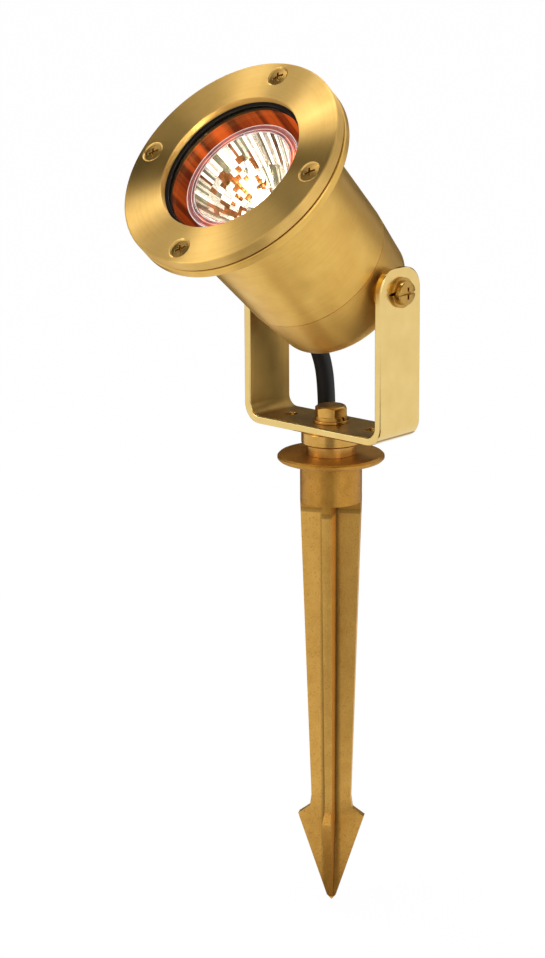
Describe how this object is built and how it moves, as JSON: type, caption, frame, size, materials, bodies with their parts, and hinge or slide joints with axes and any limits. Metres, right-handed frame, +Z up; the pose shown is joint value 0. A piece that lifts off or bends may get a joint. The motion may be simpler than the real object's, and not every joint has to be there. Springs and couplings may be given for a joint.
{
  "type": "garden spike spotlight",
  "caption": "Adjustable brass garden spotlight: a round lamp head with a glass front tilts in a U-shaped yoke that swivels on a barbed ground spike, with a rubber cable from its rear housing.",
  "frame": {"origin": "on the spike's axis at ground level, the underside of the spike's disc", "axes": "+Z up along the spike's axis, -Y the way the lamp faces, +X along the tilt axis"},
  "size_m": [0.096, 0.1187, 0.3605],
  "materials": {
    "cast_brass": "sand-cast, dark bronze-brown",
    "turned_brass": "turned and satin brushed",
    "rolled_brass": "polished, bare",
    "dark_brass": "satin, slightly tarnished",
    "clear_glass": "clear, polished",
    "black_rubber": "matt",
    "dichroic_glass": "faceted, dichroic coated inside",
    "quartz_glass": "clear, polished",
    "white_ceramic": "unglazed white ceramic",
    "nickel_pin": "plated",
    "zinc_steel": "zinc plated",
    "glass_sleeve": "woven glass-fibre sleeve",
    "cable_sheath": "matt",
    "core_insulation": "smooth",
    "bare_copper": "bright twisted copper strands"
  },
  "bodies": {
    "spike": {"ground_spike": "cast_brass", "stem_adaptor": "turned_brass", "stem_bolt": "dark_brass", "bolt_flat_washer": "turned_brass", "bolt_spring_washer": "dark_brass"},
    "yoke": {"yoke_bracket": "rolled_brass"},
    "head": {"bezel_ring": "turned_brass", "bezel_screws": "dark_brass", "lens_gasket": "black_rubber", "lens_glass": "clear_glass", "barrel": "turned_brass", "body_oring": "black_rubber", "rear_housing": "turned_brass", "pivot_screws": "dark_brass", "pivot_lock_washers": "dark_brass", "pivot_spacers": "turned_brass", "lamp_reflector": "dichroic_glass", "lamp_base": "white_ceramic", "lamp_capsule": "quartz_glass", "lamp_pins": "nickel_pin", "lampholder": "white_ceramic", "lampholder_bracket": "zinc_steel", "lampholder_screws": "zinc_steel", "lead_wires": "glass_sleeve", "gland_body": "turned_brass", "gland_seal": "black_rubber", "gland_nut": "turned_brass", "flex_cable": "cable_sheath", "cable_cores": "core_insulation", "core_strands": "bare_copper"}
  },
  "joints": [
    {"name": "yoke_swivel", "type": "hinge", "parent": "spike", "child": "yoke", "pos_m": [0, 0, 0.0125], "axis": [0, 0, 1], "range_deg": [-180, 180]},
    {"name": "head_tilt", "type": "hinge", "parent": "yoke", "child": "head", "pos_m": [0, 0, 0.0745], "axis": [-1, 0, 0], "range_deg": [-58, 47], "deforming": ["flex_cable", "cable_cores", "core_strands"]}
  ]
}
